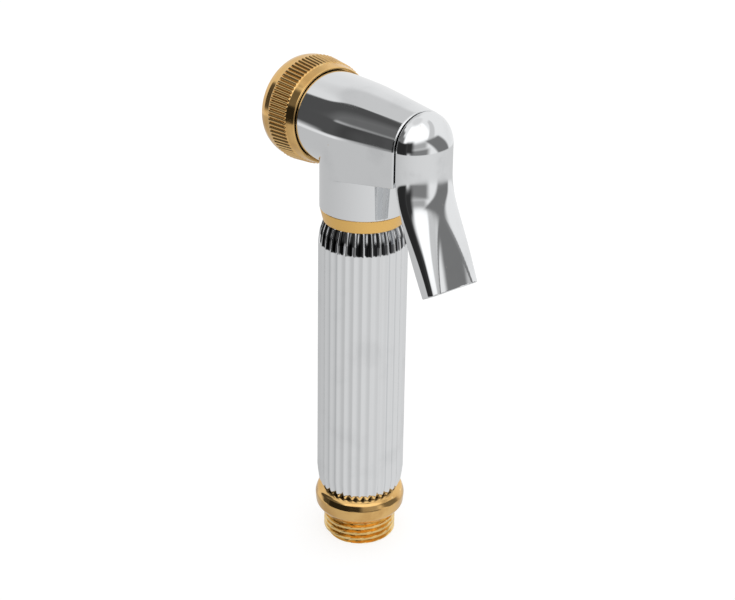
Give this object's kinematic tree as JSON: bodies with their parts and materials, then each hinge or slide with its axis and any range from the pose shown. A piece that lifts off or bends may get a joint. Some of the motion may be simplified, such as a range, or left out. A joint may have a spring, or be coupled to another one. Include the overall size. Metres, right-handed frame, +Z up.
{
  "type": "hose spray nozzle",
  "caption": "Hand-held trigger spray nozzle: chrome head with a knurled gold spray ring, a scooped thumb lever and a fluted handle with a threaded inlet.",
  "frame": {"origin": "on the handle's axis, at the bottom end face of the threaded inlet", "axes": "+Z up the handle, -X the way the water leaves the head, +X towards the thumb lever, +Y completes a right-handed frame"},
  "size_m": [0.066, 0.0298, 0.1388],
  "materials": {
    "chrome": "polished",
    "gold": "polished gold-coloured plating",
    "gold_satin": "satin gold-coloured plating",
    "brass": "machined",
    "steel": "satin",
    "rubber": "matt",
    "white_plastic": "moulded"
  },
  "bodies": {
    "body": {"head_body": "chrome", "strainer_screen": "steel", "valve_seat": "brass", "seat_oring": "rubber", "valve_spring": "steel", "gland_nut": "brass", "gland_oring": "rubber", "stem_oring": "rubber", "pivot_pin": "steel", "top_collar": "gold_satin", "handle_sleeve": "chrome", "water_tube": "brass", "neck_oring": "rubber", "nipple_oring": "rubber", "bottom_ring": "gold", "inlet_nipple": "gold", "check_valve_body": "white_plastic", "check_valve_spring": "steel", "inlet_filter": "steel"},
    "face": {"spray_face": "steel", "face_gasket": "rubber"},
    "ring": {"spray_ring": "gold"},
    "lever": {"trigger_lever": "chrome"},
    "valve": {"valve_stem": "steel", "valve_washer": "rubber", "washer_screw": "steel", "stem_pin": "steel"},
    "check": {"check_valve_poppet": "white_plastic"}
  },
  "joints": [
    {"name": "lever_press", "type": "hinge", "parent": "body", "child": "lever", "pos_m": [0.0255, 0, 0.1152], "axis": [0, 1, 0], "range_deg": [0, 12]},
    {"name": "valve_pull", "type": "slide", "parent": "body", "child": "valve", "axis": [1, 0, 0], "range_m": [0, 0.00185], "deforming": ["valve_spring"]},
    {"name": "face_advance", "type": "slide", "parent": "body", "child": "face", "axis": [-1, 0, 0], "range_m": [0, 0.0045]},
    {"name": "ring_unscrew", "type": "hinge", "parent": "face", "child": "ring", "pos_m": [-0.02, 0, 0.1239], "axis": [-1, 0, 0], "range_deg": [0, 1080]},
    {"name": "check_lift", "type": "slide", "parent": "body", "child": "check", "axis": [0, 0, 1], "range_m": [0, 0.0025], "deforming": ["check_valve_spring"]}
  ],
  "couplings": [
    {"joint": "valve_pull", "follows": "lever_press", "m_per_rad": 0.0087},
    {"joint": "face_advance", "follows": "ring_unscrew", "m_per_rad": 0.0002387}
  ]
}
